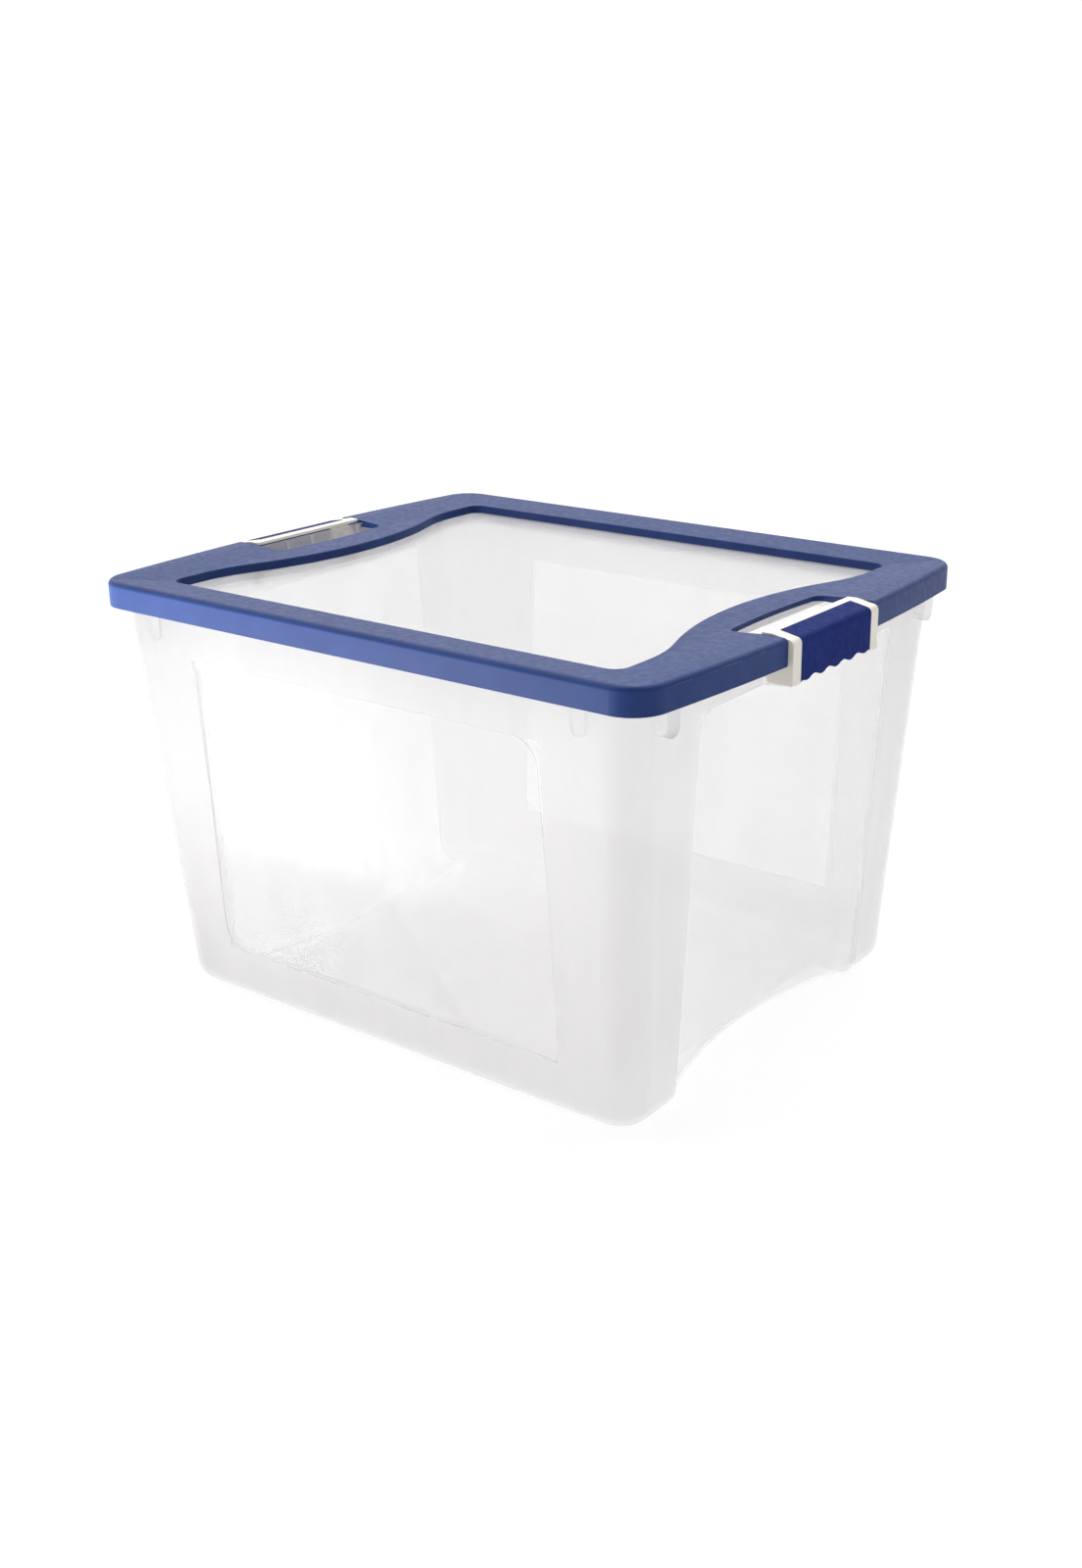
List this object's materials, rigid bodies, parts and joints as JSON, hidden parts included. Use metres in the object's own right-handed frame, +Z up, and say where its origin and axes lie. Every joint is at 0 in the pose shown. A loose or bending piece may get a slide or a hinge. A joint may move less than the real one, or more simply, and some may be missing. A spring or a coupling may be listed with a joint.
{
  "type": "latched storage tote",
  "caption": "Clear rectangular storage tote with a framed, windowed lid held down by hinged end latches.",
  "frame": {"origin": "middle of the footprint, on the floor", "axes": "+X along the length towards the right latch, +Z up, long sides face +Y and -Y"},
  "size_m": [0.554, 0.452, 0.3519],
  "materials": {
    "clear_bin": "translucent polypropylene, clear panels and frosted corners",
    "clear_window": "clear polypropylene",
    "blue_lid": "fine matte moulded texture",
    "cream_latch": "satin",
    "blue_grip": "soft-touch overmould"
  },
  "bodies": {
    "bin": {"base_bin": "clear_bin"},
    "lid": {"lid_frame": "blue_lid", "lid_window": "clear_window"},
    "latch_right": {"latch_frame_right": "cream_latch", "latch_grip_right": "blue_grip"},
    "latch_left": {"latch_frame_left": "cream_latch", "latch_grip_left": "blue_grip"}
  },
  "joints": [
    {"name": "lid_lift", "type": "slide", "parent": "bin", "child": "lid", "axis": [0, 0, 1], "range_m": [0, 0.0215]},
    {"name": "latch_right_hinge", "type": "hinge", "parent": "bin", "child": "latch_right", "pos_m": [0.266, 0, 0.3195], "axis": [0, 1, 0], "range_deg": [0, 100]},
    {"name": "latch_left_hinge", "type": "hinge", "parent": "bin", "child": "latch_left", "pos_m": [-0.266, 0, 0.3195], "axis": [0, -1, 0], "range_deg": [0, 100]}
  ],
  "couplings": [
    {"joint": "latch_right_hinge", "follows": "lid_lift", "rad_per_m": 80},
    {"joint": "latch_left_hinge", "follows": "lid_lift", "rad_per_m": 80}
  ]
}
